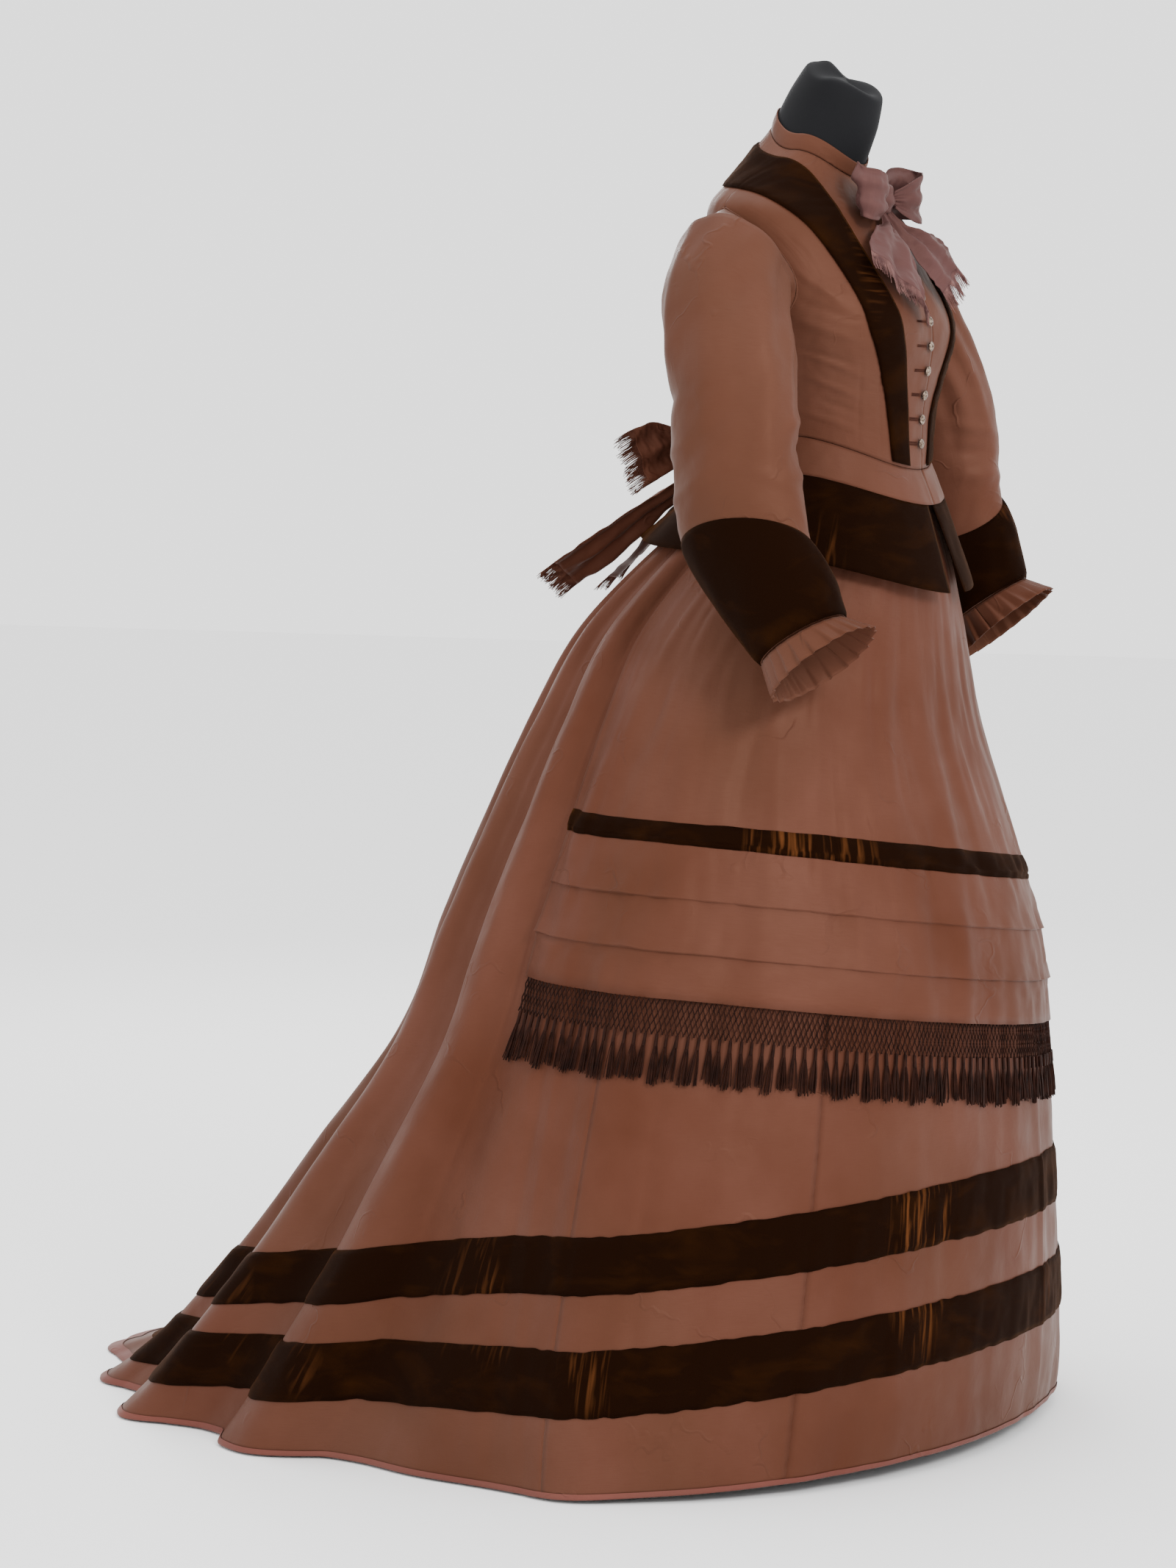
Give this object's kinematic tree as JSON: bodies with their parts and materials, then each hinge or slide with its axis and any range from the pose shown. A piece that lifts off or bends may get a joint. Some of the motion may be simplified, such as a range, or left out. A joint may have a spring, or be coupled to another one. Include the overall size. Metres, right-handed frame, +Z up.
{
  "type": "two-piece dress on a dress form",
  "caption": "Women's day dress with fitted bodice, fringed apron front and trained skirt, trimmed with velvet and bows, on a limbless dress form.",
  "frame": {"origin": "on the floor, under the middle of the form's pole", "axes": "+Z up, -Y the way the dress faces, +X the wearer's left"},
  "size_m": [0.9632, 1.1917, 1.5239],
  "materials": {
    "form_torso": "matt",
    "form_pole": "satin",
    "form_base": "satin",
    "skirt_front": "crisp shot silk",
    "skirt_side_right": "crisp shot silk",
    "skirt_side_left": "crisp shot silk",
    "skirt_back_right": "crisp shot silk",
    "skirt_back_left": "crisp shot silk",
    "hem_binding": "satin",
    "velvet_band_lower": "velvet pile",
    "velvet_band_upper": "velvet pile",
    "skirt_waistband": "crisp shot silk",
    "apron": "crisp shot silk",
    "apron_velvet_band": "velvet pile",
    "apron_fringe": "silk cord",
    "bodice_front_right": "crisp shot silk",
    "bodice_front_left": "crisp shot silk",
    "bodice_back_right": "crisp shot silk",
    "bodice_back_left": "crisp shot silk",
    "velvet_revers_right": "velvet pile",
    "velvet_revers_left": "velvet pile",
    "basque_band": "crisp shot silk",
    "peplum_right": "velvet pile",
    "peplum_left": "velvet pile",
    "collar": "crisp shot silk",
    "sleeve_right": "crisp shot silk",
    "sleeve_left": "crisp shot silk",
    "cuff_right": "velvet pile",
    "cuff_left": "velvet pile",
    "wrist_ruffle_right": "crisp shot silk",
    "wrist_ruffle_left": "crisp shot silk",
    "button_1": "aged",
    "button_2": "aged",
    "button_3": "aged",
    "button_4": "aged",
    "button_5": "aged",
    "button_6": "aged",
    "button_7": "aged",
    "button_8": "aged",
    "button_9": "aged",
    "neck_bow_knot": "satin",
    "neck_bow_loop_right": "satin",
    "neck_bow_loop_left": "satin",
    "neck_bow_tail_right": "satin",
    "neck_bow_tail_left": "satin",
    "neck_bow_fringe_right": "satin",
    "neck_bow_fringe_left": "satin",
    "back_bow_knot": "crisp shot silk",
    "back_bow_loop_right": "crisp shot silk",
    "back_bow_loop_left": "crisp shot silk",
    "back_bow_end_upper_right": "crisp shot silk",
    "back_bow_end_upper_left": "crisp shot silk",
    "back_bow_fringe_upper_right": "crisp shot silk",
    "back_bow_fringe_upper_left": "crisp shot silk",
    "back_bow_end_lower_right": "crisp shot silk",
    "back_bow_end_lower_left": "crisp shot silk",
    "back_bow_fringe_lower_right": "crisp shot silk",
    "back_bow_fringe_lower_left": "crisp shot silk"
  },
  "bodies": {
    "root": {"form_torso": "form_torso", "form_pole": "form_pole", "form_base": "form_base", "skirt_front": "skirt_front", "skirt_side_right": "skirt_side_right", "skirt_side_left": "skirt_side_left", "skirt_back_right": "skirt_back_right", "skirt_back_left": "skirt_back_left", "hem_binding": "hem_binding", "velvet_band_lower": "velvet_band_lower", "velvet_band_upper": "velvet_band_upper", "skirt_waistband": "skirt_waistband", "apron": "apron", "apron_velvet_band": "apron_velvet_band", "apron_fringe": "apron_fringe", "bodice_front_right": "bodice_front_right", "bodice_front_left": "bodice_front_left", "bodice_back_right": "bodice_back_right", "bodice_back_left": "bodice_back_left", "velvet_revers_right": "velvet_revers_right", "velvet_revers_left": "velvet_revers_left", "basque_band": "basque_band", "peplum_right": "peplum_right", "peplum_left": "peplum_left", "collar": "collar", "sleeve_right": "sleeve_right", "sleeve_left": "sleeve_left", "cuff_right": "cuff_right", "cuff_left": "cuff_left", "wrist_ruffle_right": "wrist_ruffle_right", "wrist_ruffle_left": "wrist_ruffle_left", "button_1": "button_1", "button_2": "button_2", "button_3": "button_3", "button_4": "button_4", "button_5": "button_5", "button_6": "button_6", "button_7": "button_7", "button_8": "button_8", "button_9": "button_9", "neck_bow_knot": "neck_bow_knot", "neck_bow_loop_right": "neck_bow_loop_right", "neck_bow_loop_left": "neck_bow_loop_left", "neck_bow_tail_right": "neck_bow_tail_right", "neck_bow_tail_left": "neck_bow_tail_left", "neck_bow_fringe_right": "neck_bow_fringe_right", "neck_bow_fringe_left": "neck_bow_fringe_left", "back_bow_knot": "back_bow_knot", "back_bow_loop_right": "back_bow_loop_right", "back_bow_loop_left": "back_bow_loop_left", "back_bow_end_upper_right": "back_bow_end_upper_right", "back_bow_end_upper_left": "back_bow_end_upper_left", "back_bow_fringe_upper_right": "back_bow_fringe_upper_right", "back_bow_fringe_upper_left": "back_bow_fringe_upper_left", "back_bow_end_lower_right": "back_bow_end_lower_right", "back_bow_end_lower_left": "back_bow_end_lower_left", "back_bow_fringe_lower_right": "back_bow_fringe_lower_right", "back_bow_fringe_lower_left": "back_bow_fringe_lower_left"}
  },
  "joints": []
}
